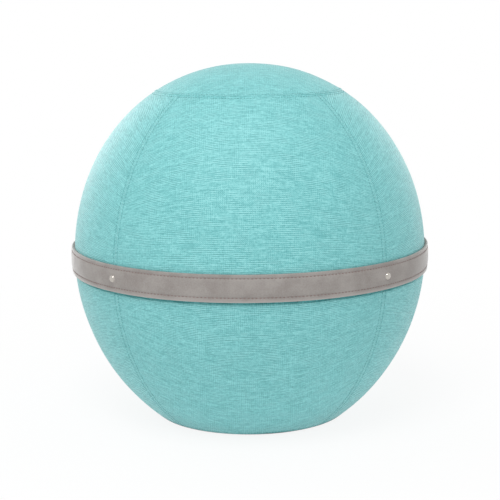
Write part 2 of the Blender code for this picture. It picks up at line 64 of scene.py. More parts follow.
belt_height = (belt_low.z + belt_high.z) / 2
belt_half = (belt_high.z - belt_low.z) / 2
ball_radius = -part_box("cover_front_panel")[0].y
crown_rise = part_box("cover_top_panel")[1].z - belt_height
belly_depth = 0.306
crown_fullness, belly_fullness = 2.06, 1.92
cloth_thickness, clearance = 0.0014, 0.0003
seam_inset, allowance = 0.004, 0.008
crease_depth, crease_width = 0.0003, 0.0006
band_rise, band_width = 0.0009, 0.0036
groove_depth, groove_width = 0.0006, 0.0008
pucker_rise, pucker_reach = 0.00015, 0.009
pucker_waves, pucker_offset = (0.0019, 0.0031), 1.3
bite_at, bite_depth, bite_width = 0.0214, 0.0045, 0.0019
press_reach = 0.003
slack_rise, slack_waves, slack_reach = 0.0004, 14.0, 0.03
zip_span = math.radians(135)
profile_points = 6001
panel_rows, panel_columns = 210, 98
seam_zone, seam_step = 0.012, 0.001
bite_step, bite_rows = 0.0006, np.arange(-6, 9)


def bell(distance, width):
    """1 on a line, and nothing a few widths away from it."""
    return np.exp(-((distance / width) ** 2))


def lengths_along(x, y):
    """How far along a line each of its points is."""
    return np.concatenate([[0], np.cumsum(np.hypot(np.diff(x), np.diff(y)))])


def around_axis(radius, bearing, height):
    """Points at radii, bearings and heights about the ball's upright axis."""
    return np.stack(np.broadcast_arrays(radius * np.cos(bearing), radius * np.sin(bearing), height), -1)


def outline(turn):
    """The cover's radius and height, and the radial and upward parts of the direction out of it.

    turn is 0 at the crown, a quarter at the belt and a half underneath.
    """
    above = turn <= QUARTER
    power = np.where(above, 2 / crown_fullness, 2 / belly_fullness)
    reach = np.where(above, crown_rise, -belly_depth)
    sine, cosine = np.abs(np.sin(turn)), np.abs(np.cos(turn))
    out, up = sine ** (2 - power) / ball_radius, cosine ** (2 - power) / reach
    length = np.hypot(out, up)
    return ball_radius * sine**power, belt_height + reach * cosine**power, out / length, up / length


turn_table = np.linspace(0, math.pi, profile_points)
radius_table, height_table, _, _ = outline(turn_table)
arc_table = lengths_along(radius_table, height_table)


def arc_at_height(height):
    """How far down the cover from its crown it reaches this height."""
    return float(np.interp(-height, -height_table, arc_table))


def radius_at(arc):
    """The cover's radius, arc down from its crown."""
    return np.interp(arc, arc_table, radius_table)


def on_cover(arc, bearing, lift=0.0):
    """Points of the cover, arc down from its crown, lifted off it along its normal."""
    radius, height, out, up = outline(np.interp(arc, arc_table, turn_table))
    return around_axis(radius + lift * out, bearing, height + lift * up)


top_seam_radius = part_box("cover_top_panel")[1].x + clearance / 2
crown_half = turn_table <= QUARTER
top_seam = float(np.interp(top_seam_radius, radius_table[crown_half], arc_table[crown_half]))
hem = arc_at_height(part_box("cover_base_panel")[1].z + clearance)
belt_arc = arc_at_height(belt_height)
slot_top = arc_at_height(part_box("cover_back_panel")[0].z)


def seam_lift(distance, along):
    """How far the cloth stands off the ball this far from a seam."""
    ripple = np.sin(along / pucker_waves[0]) + np.sin(along / pucker_waves[1] + pucker_offset)
    return (
        band_rise * bell(distance, band_width)
        - crease_depth * bell(distance, crease_width)
        - groove_depth * bell(distance - seam_inset, groove_width)
        + pucker_rise * ripple * bell(distance, pucker_reach)
    )


def free_of_belt(arc):
    """0 where the belt presses the cover flat, 1 clear of it."""
    return np.clip((np.abs(arc - belt_arc) - belt_half) / press_reach, 0, 1)


def belt_bite(arc):
    """How deep the belt's lower edge is drawn into the cover."""
    return bite_depth * bell(arc - belt_arc - bite_at, bite_width)


def slack(points):
    """The faint unevenness of cloth over an air ball."""
    swell = [noise.noise(Vector(p) * slack_waves) for p in points.reshape(-1, 3)]
    return slack_rise * np.array(swell).reshape(points.shape[:-1])


def spaced(length, steps):
    """Distances over a length, close together next to its two ends."""
    edge = np.arange(0, seam_zone, seam_step)
    inner = np.linspace(seam_zone, length - seam_zone, steps + 1)
    return np.concatenate([edge, inner, length - edge[::-1]])


def new_object(name, data):
    """An object of a mesh, a lamp or a camera, in the scene."""
    made = bpy.data.objects.new(name, data)
    bpy.context.scene.collection.objects.link(made)
    return made


def grid_object(name, points, cloth_uv, keep=None):
    """A sheet through a grid of points, rows down and columns to the right, with its cloth's own UV map."""
    rows, columns = points.shape[:2]
    index = np.arange(rows * columns).reshape(rows, columns)
    quads = np.stack([index[:-1, :-1], index[1:, :-1], index[1:, 1:], index[:-1, 1:]], -1)
    quads = quads.reshape(-1, 4) if keep is None else quads[keep]
    used, corners = np.unique(quads, return_inverse=True)
    mesh = bpy.data.meshes.new(name)
    mesh.from_pydata(points.reshape(-1, 3)[used].tolist(), [], corners.reshape(-1, 4).tolist())
    layer = mesh.uv_layers.new(name="cloth")
    layer.uv.foreach_set("vector", cloth_uv.reshape(-1, 2)[quads.ravel()].astype(np.float32).ravel())
    mesh.shade_smooth()
    return new_object(name, mesh)


def linear(hex_colour):
    """An sRGB hex colour as linear RGBA."""
    parts = [int(hex_colour[i : i + 2], 16) / 255 for i in (1, 3, 5)]
    return [c / 12.92 if c <= 0.04045 else ((c + 0.055) / 1.055) ** 2.4 for c in parts] + [1.0]


def join(tree, node, inputs):
    """Sets or links a node's inputs. A node given as an input stands for its first output."""
    for name, value in inputs.items():
        if isinstance(value, bpy.types.Node):
            value = value.outputs[0]
        if isinstance(value, bpy.types.NodeSocket):
            tree.links.new(value, node.inputs[name])
        else:
            node.inputs[name].default_value = value


def add(tree, kind, inputs=None, stops=(), **settings):
    """Adds a node with its settings and inputs, and with (place, hex colour) stops if it is a ramp."""
    node = tree.nodes.new(kind)
    for name, value in settings.items():
        setattr(node, name, value)
    join(tree, node, inputs or {})
    for _ in stops[2:]:
        node.color_ramp.elements.new(0.5)
    for index, (place, colour) in enumerate(stops):
        node.color_ramp.elements[index].position = place
        node.color_ramp.elements[index].color = linear(colour)
    return node


def new_material(name, **constants):
    """A material with one Principled shader, whose constants are set on its own sockets."""
    material = bpy.data.materials.new(name)
    material.use_nodes = True
    tree = material.node_tree
    shader = tree.nodes["Principled BSDF"]
    join(tree, shader, {socket.replace("_", " "): value for socket, value in constants.items()})
    return material, tree, shader


def streaks(tree, uv, long, thick, **settings):
    """Noise drawn out into streaks of this length along X and this thickness along Y."""
    drawn = add(tree, "ShaderNodeVectorMath", {0: uv, 1: (1 / long, 1 / thick, 1)}, operation="MULTIPLY")
    inputs = {"Vector": drawn, "Scale": 1.0, **settings}
    return add(tree, "ShaderNodeTexNoise", inputs, noise_dimensions="2D")


def yarn_tones(tree, uv, axes, dash, patch, rib):
    """Tones of yarns along the first of two axes: each has its own run of paler and deeper dashes and is
    shaded round its sides, and in patches every second yarn stands out."""
    parts = add(tree, "ShaderNodeSeparateXYZ", {"Vector": uv}).outputs
    across = add(tree, "ShaderNodeMath", {0: parts[axes[1]], 1: 1 / yarn_pitch}, operation="MULTIPLY")
    lane = add(tree, "ShaderNodeMath", {0: across}, operation="FLOOR")
    along = add(tree, "ShaderNodeMath", {0: parts[axes[0]], 1: 1 / dash}, operation="MULTIPLY")
    apart = add(tree, "ShaderNodeMath", {0: lane, 1: yarn_offset}, operation="MULTIPLY")
    place = add(tree, "ShaderNodeCombineXYZ", {"X": along, "Y": apart})
    inputs = {"Vector": place, "Scale": 1.0, "Detail": 3.0, "Roughness": 0.9}
    dashes = add(tree, "ShaderNodeTexNoise", inputs, noise_dimensions="2D")
    second = add(tree, "ShaderNodeMath", {0: lane, 1: 2.0}, operation="FLOORED_MODULO")
    ribs = add(tree, "ShaderNodeMath", {0: second, 1: 0.5}, operation="SUBTRACT")
    inputs = {"Value": streaks(tree, uv, *patch), "From Min": 0.38, "From Max": 0.6, "To Max": rib}
    shown = add(tree, "ShaderNodeMapRange", inputs)
    ribbed = add(tree, "ShaderNodeMath", {0: ribs, 1: shown, 2: dashes}, operation="MULTIPLY_ADD")
    sides = add(tree, "ShaderNodeMath", {0: across, 1: 0.5}, operation="PINGPONG")
    shaded = add(tree, "ShaderNodeMath", {0: sides, 1: 0.25}, operation="SUBTRACT")
    return add(tree, "ShaderNodeMath", {0: shaded, 1: side_shade, 2: ribbed}, operation="MULTIPLY_ADD")


def weave(tree, shader, uv, tones, stops, yarn, depth):
    """Colours a plain weave along its tones, and gives it the relief of yarns this far apart."""
    parts = add(tree, "ShaderNodeSeparateXYZ", {"Vector": uv}).outputs
    crossings = []
    for axis in "XY":
        angle = add(tree, "ShaderNodeMath", {0: parts[axis], 1: math.pi / yarn}, operation="MULTIPLY")
        crossings.append(add(tree, "ShaderNodeMath", {0: angle}, operation="SINE"))
    over = add(tree, "ShaderNodeMath", {0: crossings[0], 1: crossings[1]}, operation="MULTIPLY")
    height = add(tree, "ShaderNodeMath", {0: over, 1: 0.5, 2: tones}, operation="MULTIPLY_ADD")
    relief = add(tree, "ShaderNodeBump", {"Height": height, "Distance": depth, "Strength": 0.6})
    colour = add(tree, "ShaderNodeValToRGB", {"Fac": tones}, stops)
    join(tree, shader, {"Base Color": colour, "Normal": relief})


# Heathered polyester weave: pale, mid and deep turquoise fibres spun together, so each yarn runs through
# paler and deeper dashes, and the weft shows most. The yarns of such cloth are under a millimetre apart,
# too fine to show, so they are drawn 1.4 mm apart. They have a soft gloss, and loose fibre ends give a
# pale bloom at the limb.
yarn_pitch, yarn_offset, side_shade = 0.0014, 3.71, 0.5
wander_size, wander_reach = 0.0714, 0.0012
warp_share = 0.34
turquoise_weave, tree, shader = new_material(
    "turquoise_heather_weave",
    Roughness=0.48,
    IOR=1.5,
    Specular_IOR_Level=0.5,
    Sheen_Weight=0.3,
    Sheen_Roughness=0.2,
    Sheen_Tint=linear("#F2FBFB"),
)
cloth = add(tree, "ShaderNodeUVMap", uv_map="cloth")
wander = add(tree, "ShaderNodeTexNoise", {"Vector": cloth, "Scale": 1 / wander_size, "Detail": 1.0})
inputs = {0: wander.outputs["Color"], 1: (wander_reach, wander_reach, 0.0), 2: cloth}
shifted = add(tree, "ShaderNodeVectorMath", inputs, operation="MULTIPLY_ADD")
weft = yarn_tones(tree, shifted, "XY", dash=0.026, patch=(0.0333, 0.01667), rib=0.34)
warp = yarn_tones(tree, shifted, "YX", dash=0.010, patch=(0.01667, 0.0333), rib=0.22)
tone = add(tree, "ShaderNodeMix", {0: warp_share, 2: weft, 3: warp})
heather = [(0.34, "#60AEB0"), (0.5, "#7CCBCC"), (0.66, "#9AE2E3")]
weave(tree, shader, shifted, tone, heather, yarn=yarn_pitch, depth=0.0005)


def finished(piece, material, body, slot, *nodes):
    """Gives a piece its material, the body it rides on and the solids it stands for; its slot is not used.
    """
    piece.data.materials.clear()
    piece.data.materials.append(material)
    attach(piece, body)
    if nodes:
        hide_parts(*nodes)


def cover_panel(panel, node):
    """Finishes a panel of the cover, which gets its thickness inwards and is stretched over the air ball."""
    wall = panel.modifiers.new("thickness", "SOLIDIFY")
    wall.thickness = cloth_thickness
    wall.offset = -1
    finished(panel, turquoise_weave, "ball", "cover_fabric", node)


bitten = belt_arc + bite_at + bite_step * bite_rows
arcs = top_seam + spaced(hem - top_seam, panel_rows)
arcs = np.concatenate([arcs[arcs < bitten[0] - bite_step], bitten, arcs[arcs > bitten[-1] + bite_step]])
arcs = np.pad(arcs, 1, "edge")
slot_row = int(np.argmin(np.abs(arcs - slot_top)))
arcs[slot_row] = slot_top
across = np.array([spaced(r * QUARTER, panel_columns) for r in radius_at(arcs)])
across = np.pad(across, ((0, 0), (1, 1)), "edge")
arc = np.repeat(arcs[:, None], across.shape[1], 1)
from_side = np.minimum(across, across[:, -1:] - across)
for name, middle in side_panels.items():
    bearing = middle - QUARTER / 2 + across / radius_at(arcs)[:, None]
    from_slot = np.abs((bearing - BACK + math.pi) % math.tau - math.pi) - zip_span / 2
    if from_slot[slot_row].min() < 0 < from_slot[slot_row].max():
        end_column = int(np.argmin(np.abs(from_slot[slot_row])))
        side = 1 if middle == 0.0 else -1
        bearing[slot_row:, end_column] = BACK - side * zip_span / 2
        from_slot[slot_row:, end_column] = 0.0

    lift = np.minimum(seam_lift(from_side, arc), seam_lift(arc - top_seam, bearing * top_seam_radius))
    lift = np.minimum(lift, seam_lift(hem - arc, bearing * top_seam_radius))
    lift += slack(on_cover(arc, bearing)) * np.clip(from_side / slack_reach, 0, 1)
    lift = np.where(lift > 0, lift * free_of_belt(arc), lift) - belt_bite(arc)
    lift[[0, -1], :] = -allowance
    lift[:, [0, -1]] = -allowance

    spread = on_cover(arc, bearing - middle) - (0, 0, belt_height)
    spread /= np.linalg.norm(spread, axis=-1, keepdims=True)
    weft = ball_radius * np.arcsin(spread[..., 1])
    warp = ball_radius * np.arctan2(spread[..., 2], spread[..., 0])
    in_slot = np.minimum(from_slot[:-1, :-1], from_slot[:-1, 1:]) < -1e-6
    keep = ~(in_slot & (np.arange(len(arcs) - 1)[:, None] >= slot_row))
    points = on_cover(arc, bearing, lift)
    panel = grid_object(name + "_cloth", points, np.stack([weft + middle, warp], -1), keep)
    cover_panel(panel, name)

# Top panel of the cover: a round of the same cloth over the crown, its weft in line with the front panel's.
# It is sewn to the four gores with the same double stitched seam.
disc_rings, disc_sides = 45, 288
disc_arcs = np.concatenate([np.linspace(0, top_seam - seam_zone, disc_rings + 1)[1:],
                            top_seam - np.arange(0, seam_zone, seam_step)[::-1], [top_seam]])
disc_bearings = np.linspace(-math.pi, math.pi, disc_sides + 1)
arc, bearing = np.meshgrid(disc_arcs, disc_bearings, indexing="ij")
lift = seam_lift(top_seam - arc, bearing * top_seam_radius)
lift += slack(on_cover(arc, bearing)) * np.clip((top_seam - arc) / slack_reach, 0, 1)
lift[:, -1] = lift[:, 0]
lift[-1] = -allowance
disc_uv = around_axis(arc, bearing, 0.0)[..., :2]
top_panel = grid_object("cover_top_panel_cloth", on_cover(arc, bearing, lift), disc_uv)
bm = bmesh.new()
bm.from_mesh(top_panel.data)
bmesh.ops.remove_doubles(bm, verts=bm.verts, dist=1e-6)
inner_ring = [e for e in bm.edges if e.is_boundary and e.verts[0].co.xy.length < top_seam_radius / 2]
pole = bmesh.ops.contextual_create(bm, geom=inner_ring)["faces"]
bmesh.ops.poke(bm, faces=pole)
layer = bm.loops.layers.uv["cloth"]
for vert in (v for v in bm.verts if v.co.xy.length < disc_arcs[1]):
    for corner in vert.link_loops:
        corner[layer].uv = vert.co.xy
bm.to_mesh(top_panel.data)
bm.free()
top_panel.data.shade_smooth()
cover_panel(top_panel, "cover_top_panel")

# Topstitching: two rows of bonded polyester thread along every seam, one on each side, which hold the
# allowances flat. Each stitch lies in the groove that it pulls into the cloth.
stitch_pitch, stitch_length, thread_width = 0.0046, 0.0037, 0.0010
thread_rise, pressed_lift = 0.0001, -0.0005
stitch_lift = band_rise * bell(seam_inset, band_width) - groove_depth + thread_rise
seam_start, hem_overlap_angle = 1.6 * seam_inset, 0.03
seam_points, ring_points, hem_points = 440, 360, 240


def new_tree(name, **sockets):
    """A geometry tree with named inputs of these kinds and one output, and its inputs' sockets."""
    tree = bpy.data.node_groups.new(name, "GeometryNodeTree")
    for socket, kind in sockets.items():
        tree.interface.new_socket(socket, in_out="INPUT", socket_type="NodeSocket" + kind)
    tree.interface.new_socket("Laid", in_out="OUTPUT", socket_type="NodeSocketGeometry")
    return tree, add(tree, "NodeGroupInput").outputs


def lay(tree, points, shape, along, finish, size=(1, 1, 1)):
    """Ends a tree: a shape on every point, turned to its along and out directions, as plain faces."""
    out = add(tree, "GeometryNodeInputNamedAttribute", {"Name": "out"}, data_type="FLOAT_VECTOR")
    ahead = add(tree, "FunctionNodeAlignRotationToVector", {"Vector": along}, axis="X")
    facing = {"Rotation": ahead, "Vector": out}
    flat = add(tree, "FunctionNodeAlignRotationToVector", facing, axis="Z", pivot_axis="X")
    inputs = {"Points": points, "Instance": shape, "Rotation": flat, "Scale": size}
    placed = add(tree, "GeometryNodeInstanceOnPoints", inputs)
    real = add(tree, "GeometryNodeRealizeInstances", {"Geometry": placed})
    smooth = add(tree, "GeometryNodeSetShadeSmooth", {"Geometry": real})
    coated = add(tree, "GeometryNodeSetMaterial", {"Geometry": smooth, "Material": finish})
    add(tree, "NodeGroupOutput", {0: coated})


def evaluated_mesh(piece):
    """A plain mesh of a piece as its modifiers leave it."""
    made = piece.evaluated_get(bpy.context.evaluated_depsgraph_get())
    return bpy.data.meshes.new_from_object(made)


def laid(name, tree, points, edges, directions, values):
    """A plain mesh of what a tree lays on points that carry directions, with the values of its inputs."""
    mesh = bpy.data.meshes.new(name + "_places")
    mesh.from_pydata(points, edges, [])
    for attribute, vectors in directions.items():
        mesh.attributes.new(attribute, "FLOAT_VECTOR", "POINT").data.foreach_set("vector", np.ravel(vectors))
    piece = new_object(name, mesh)
    nodes = piece.modifiers.new("laid", "NODES")
    nodes.node_group = tree
    for item in tree.interface.items_tree:
        if item.in_out == "INPUT" and item.name in values:
            nodes[item.identifier] = values[item.name]
    piece.data = evaluated_mesh(piece)
    piece.modifiers.clear()
    return piece


stitch_rows, given = new_tree(
    "stitch_rows", Rows="Geometry", Pitch="Float", Length="Float", Width="Float", Thread="Material"
)
curve = add(stitch_rows, "GeometryNodeMeshToCurve", {"Mesh": given["Rows"]})
inputs = {"Curve": curve, "Length": given["Pitch"]}
even = add(stitch_rows, "GeometryNodeResampleCurve", inputs, mode="LENGTH")
stitch = add(stitch_rows, "GeometryNodeMeshUVSphere", {"Segments": 8, "Rings": 5, "Radius": 0.5})
inputs = {"X": given["Length"], "Y": given["Width"], "Z": given["Width"]}
size = add(stitch_rows, "ShaderNodeCombineXYZ", inputs)
lay(stitch_rows, even, stitch, add(stitch_rows, "GeometryNodeInputTangent"), given["Thread"], size)


def sew(name, rows, thread, slot, pitch=stitch_pitch, length=stitch_length, width=thread_width):
    """Stitches along rows of (points, outward directions, closed), as one piece on the ball."""
    points, outs, edges = [], [], []
    for row, out, closed in rows:
        first = len(points)
        points += row.tolist()
        outs += out.tolist()
        edges += [(i, i + 1) for i in range(first, len(points) - 1)]
        if closed:
            edges.append((len(points) - 1, first))
    values = {"Pitch": pitch, "Length": length, "Width": width, "Thread": thread}
    stitches = laid(name, stitch_rows, points, edges, {"out": outs}, values)
    finished(stitches, thread, "ball", slot)


def cover_row(arc, bearing, lift, closed=False):
    """A stitch row on the cover, with the cloth's outward directions."""
    points = on_cover(arc, bearing, lift)
    return points, on_cover(arc, bearing, lift + 1.0) - points, closed


def mottled(name, deep, pale, size, detail, roughness=None, bump=None, **constants):
    """A finish between two hex colours in patches of this size, which may also have a range of roughness
    or a bump of this (depth, strength)."""
    material, tree, shader = new_material(name, **constants)
    place = add(tree, "ShaderNodeTexCoord").outputs["Object"]
    patches = add(tree, "ShaderNodeTexNoise", {"Vector": place, "Scale": 1 / size, "Detail": detail})
    stops = [(0.3, deep), (0.7, pale)]
    finish = {"Base Color": add(tree, "ShaderNodeValToRGB", {"Fac": patches}, stops)}
    if roughness:
        inputs = {"Value": patches, "To Min": roughness[0], "To Max": roughness[1]}
        finish["Roughness"] = add(tree, "ShaderNodeMapRange", inputs)
    if bump:
        inputs = {"Height": patches, "Distance": bump[0], "Strength": bump[1]}
        finish["Normal"] = add(tree, "ShaderNodeBump", inputs)
    join(tree, shader, finish)
    return material


# Bonded polyester thread, dyed a shade deeper than the cloth, in part a painted shade of its groove: smooth,
# a little glossy. Its fibres are too fine to show, so its patches are drawn about as large as the thread is
# thick.
fibre_size = 0.00111
cover_thread = mottled(
    "turquoise_polyester_thread", "#4F979B", "#69AFB2", size=fibre_size, detail=1.0,
    Roughness=0.55, IOR=1.5, Specular_IOR_Level=0.35,
)
rows = []
for middle in side_panels.values():
    seam = middle + QUARTER / 2
    foot = (slot_top if math.sin(seam) > 0 else hem) - seam_inset
    arc = np.linspace(top_seam + seam_start, foot, seam_points)
    lift = pressed_lift + (stitch_lift - pressed_lift) * free_of_belt(arc) - belt_bite(arc)
    for side in (-1, 1):
        rows.append(cover_row(arc, seam + side * seam_inset / radius_at(arc), lift))
around = np.linspace(0, math.tau, ring_points, endpoint=False)
for side in (-1, 1):
    rows.append(cover_row(top_seam + side * seam_inset, around, stitch_lift, closed=True))
front_hem = np.linspace(BACK + zip_span / 2, BACK - zip_span / 2 + math.tau, hem_points)
rows.append(cover_row(hem - seam_inset, front_hem, stitch_lift))
back_half = zip_span / 2 + hem_overlap_angle
back_hem = np.linspace(BACK - back_half, BACK + back_half, hem_points)
rows.append(cover_row(slot_top - seam_inset / 2, back_hem, clearance))
sew("cover_topstitching", rows, cover_thread, "cover_fabric")

# Base panel: a round of black polyester cloth with a rubbery coating, which the ball stands on.
# Its rim is sewn into the hem of the side panels, which draws it up off the floor, and one stitch row,
# sunk in a groove, shows underneath.
base_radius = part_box("cover_base_panel")[1].x
base_cloth, base_flat = 0.002, base_radius - 0.0135
base_stitch_radius = base_radius - 0.018
base_groove, base_groove_width = 0.0008, 0.0012
base_rings, base_sides = 90, 180
# How far in from the rim, and how high, each point of the drawn-up hem is.
base_hem = [(0.0120, 0.0001), (0.0060, 0.0007), (0.0002, 0.0015), (0.0, 0.0018), (0.0004, base_cloth)]


def weld(piece):
    """Merges the doubled points of a rolled-up grid, closes its open ends and turns its faces outwards."""
    bm = bmesh.new()
    bm.from_mesh(piece.data)
    bmesh.ops.remove_doubles(bm, verts=bm.verts, dist=1e-7)
    bmesh.ops.dissolve_degenerate(bm, edges=bm.edges, dist=1e-8)
    bmesh.ops.holes_fill(bm, edges=[e for e in bm.edges if e.is_boundary], sides=0)
    bmesh.ops.recalc_face_normals(bm, faces=bm.faces)
    bm.to_mesh(piece.data)
    bm.free()
    piece.data.shade_smooth()
    return piece


def turned_object(name, section, sides, plan=False, sunk=0.0):
    """A closed (radius, height) section turned about the Z axis, with its UV map in plan or wound round.

    It may be sunk by a grid of depths.
    """
    bearing = np.linspace(0, math.tau, sides + 1)
    radius, height = np.array(section + section[:1]).T
    wound = np.meshgrid(bearing * radius.max(), lengths_along(radius, height), indexing="ij")
    bearing[-1] = 0.0
    grid = around_axis(radius, bearing[:, None], height - sunk)
    return weld(grid_object(name, grid, grid[..., :2] if plan else np.stack(wound, -1)))


def flat_ring(radius, height, facing):
    """A closed stitch row round the axis, which faces up (1) or down (-1)."""
    return around_axis(radius, around, height), np.tile((0.0, 0.0, facing), (len(around), 1)), True


# Polyester with a rolled-on rubbery coating: nearly black, dull, with the cloth's grid under the film.
coated_cloth, tree, shader = new_material(
    "black_coated_polyester", Roughness=0.7, IOR=1.5, Specular_IOR_Level=0.4
)
scuff_size = 0.0167
place = add(tree, "ShaderNodeTexCoord").outputs["Object"]
scuffs = add(tree, "ShaderNodeTexNoise", {"Vector": place, "Scale": 1 / scuff_size, "Detail": 4.0})
blacks = [(0.35, "#202123"), (0.7, "#333437")]
weave(tree, shader, place, scuffs, blacks, yarn=0.0015, depth=0.0004)

under = [(r, base_groove * bell(r - base_stitch_radius, base_groove_width))
         for r in np.linspace(0, base_flat, base_rings)]
drawn_up = [(base_radius - inward, height) for inward, height in base_hem]
base_section = under + drawn_up + [(0.0, base_cloth)]
base_panel = turned_object("cover_base_panel_cloth", base_section, base_sides, plan=True)
finished(base_panel, coated_cloth, "ball", "base_cloth", "cover_base_panel")

# Bonded polyester thread in black, for the base's stitch row: smooth, a little glossy.
black_thread = mottled(
    "black_polyester_thread", "#3A3B3E", "#55565A", size=fibre_size, detail=1.0, Roughness=0.5, IOR=1.5
)
base_row = flat_ring(base_stitch_radius, base_groove - thread_rise, -1.0)
sew("base_stitching", [base_row], black_thread, "base_cloth")

# Zip tapes: woven polyester tape dyed with the cover, one sewn behind the back hem and one to the base.
# They lie on the cone of the cover's foot, so their weave runs round it.
zip_radius, zip_height = 0.1612, 0.0143
zip_slope = math.radians(40.09)


def merged_copy(solid, name, edge=0.0):
    """A copy of a solid with its triangles joined into whole faces and its outer edges rounded."""
    flat_angle, sharp_angle = math.radians(1), math.radians(30)
    bm = bmesh.new()
    bm.from_mesh(solid)
    bmesh.ops.remove_doubles(bm, verts=bm.verts, dist=1e-6)
    bmesh.ops.dissolve_limit(bm, angle_limit=flat_angle, verts=bm.verts, edges=bm.edges)
    bm.verts.index_update()
    bm.normal_update()
    sharp = {tuple(sorted(v.index for v in e.verts)) for e in bm.edges
             if e.is_convex and e.calc_face_angle(0.0) > sharp_angle}
    mesh = bpy.data.meshes.new(name)
    mesh.from_pydata([v.co[:] for v in bm.verts], [], [[v.index for v in f.verts] for f in bm.faces])
    bm.free()
    mesh.shade_smooth()
    piece = new_object(name, mesh)
    if edge:
        weights = mesh.attributes.new("bevel_weight_edge", "FLOAT", "EDGE")
        weights.data.foreach_set("value", [float(tuple(sorted(e.vertices)) in sharp) for e in mesh.edges])
        bevel = piece.modifiers.new("rounded_edges", "BEVEL")
        bevel.width = edge
        bevel.segments = 3
        bevel.limit_method = "WEIGHT"
        bevel.harden_normals = True
    return piece


# Woven polyester tape: fine ribs across it, a shade deeper than the cover, matt.
tape_weave, tree, shader = new_material(
    "turquoise_woven_tape", Roughness=0.85, IOR=1.5, Specular_IOR_Level=0.3, Sheen_Weight=0.15
)
cloth = add(tree, "ShaderNodeUVMap", uv_map="cloth")
ribs = streaks(tree, cloth, long=0.0012, thick=0.006, Detail=1.0)
weave(tree, shader, cloth, ribs, [(0.3, "#4E9CA0"), (0.7, "#74BBBE")], yarn=0.0009, depth=0.0003)
for node in ("zip_upper_tape", "zip_lower_tape"):
    tape = merged_copy(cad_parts[node].data, node + "_weave")
    spots = np.array([v.co for v in tape.data.vertices])
    round_cone = np.arctan2(spots[:, 1], spots[:, 0]) * zip_radius
    up_cone = (spots[:, 2] - zip_height) / math.sin(zip_slope)
    corners = [loop.vertex_index for loop in tape.data.loops]
    tape_uv = np.stack([round_cone, up_cone], -1)[corners]
    tape.data.uv_layers.new(name="cloth").uv.foreach_set("vector", tape_uv.astype(np.float32).ravel())
    finished(tape, tape_weave, "ball", "zip_tape", node)

# Zip teeth: moulded acetal, shot straight on to each tape's edge, a flared head on a neck with a foot
# that grips the edge. Each tooth sits between two of the other side, so the closed chain locks.
tooth_edge = 0.00022

# Moulded acetal: smooth and waxy, dyed with the tape.
acetal = mottled(
    "turquoise_moulded_acetal", "#5AA9AD", "#6DB9BC", size=0.004, detail=2.0, Roughness=0.35, IOR=1.48
)
for node in ("zip_upper_teeth", "zip_lower_teeth"):
    comb = merged_copy(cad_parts[node].data, node + "_moulded", tooth_edge)
    finished(comb, acetal, "ball", "zip_teeth", node)

# Zip stops, slider and pull tab: die-cast zinc, barrel polished so that every edge is rounded.
# The stops are crimped over the tape edges; the tab's end bar turns under the slider's bridge.
# The slider's channel is left open from end to end, so that it runs over a chain that stays meshed.
slider_at = 0.015
channel_size = (0.020, 0.0092, 0.0036)
castings = {
    "zip_upper_stop": ("ball", 0.0004),
    "zip_lower_stop": ("ball", 0.0004),
    "zip_end_stop": ("ball", 0.0005),
    "zip_slider": ("slider", 0.0003),
    "zip_pull_tab": ("pull_tab", 0.0004),
}


def channelled(solid):
    """The slider's solid with one straight channel through it, along the chain."""
    turn = BACK - zip_span / 2 + slider_at / zip_radius
    outward, upward = Vector((math.cos(turn), math.sin(turn), 0)), Vector((0, 0, 1))
    chain = upward.cross(outward)
    across = outward * math.cos(zip_slope) + upward * math.sin(zip_slope)
    place = Matrix((chain, across, chain.cross(across))).transposed().to_4x4()
    place.translation = outward * zip_radius + upward * zip_height
    bm = bmesh.new()
    bmesh.ops.create_cube(bm, size=1.0, matrix=place @ Matrix.Diagonal((*channel_size, 1.0)))
    channel = new_object("channel", bpy.data.meshes.new("channel"))
    bm.to_mesh(channel.data)
    bm.free()
    body = new_object("body", solid.copy())
    bore = body.modifiers.new("channel", "BOOLEAN")
    bore.object = channel
    bore.operation = "DIFFERENCE"
    bore.solver = "EXACT"
    bored = evaluated_mesh(body)
    bpy.data.objects.remove(channel)
    bpy.data.objects.remove(body)
    return bored


# Barrel polished zinc: pale grey and shiny, a little duller in patches.
die_cast = mottled(
    "barrel_polished_zinc", "#A9A8A5", "#C9C8C5", size=0.003125, detail=3.0,
    roughness=(0.2, 0.38), Metallic=1.0,
)
for node, (body, edge) in castings.items():
    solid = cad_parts[node].data
    if node == "zip_slider":
        solid = channelled(solid)
    finished(merged_copy(solid, node + "_cast", edge), die_cast, body, "zip_metal", node)

# Belt lining: a strip of grey felted polyester that backs the belt and grips the cover.
# It stops short of the belt's lap, so that the lap isn't too thick.
lining_thickness, strap_thickness = 0.0018, 0.0024
lining_inner = ball_radius + clearance
strap_inner = lining_inner + lining_thickness + clearance
lapped_inner = lining_inner + strap_thickness + clearance
lap_length, lap_ramp = 0.045, math.radians(3.75)
lap_half = lap_length / strap_inner / 2
lining_gap = lap_half + lap_ramp + clearance / strap_inner
lining_setback, lining_rows, lining_steps = 0.0007, 15, 360


def camber(across):
    """How far the ball falls away from its belt line, this far above or below it."""
    return ball_radius - np.interp(-belt_height - across, -height_table, radius_table)


def band_object(name, bearings, inner, across, out):
    """A belt: a closed section, outer face upwards and inner face down, swept round the ball."""
    across, out = np.append(across, across[0]), np.append(out, out[0])
    radius = inner[:, None] + out - camber(across)
    band_uv = np.meshgrid(bearings * strap_inner, lengths_along(across, out), indexing="ij")
    grid = around_axis(radius, bearings[:, None], belt_height + across)
    return weld(grid_object(name, grid, np.stack(band_uv, -1)))


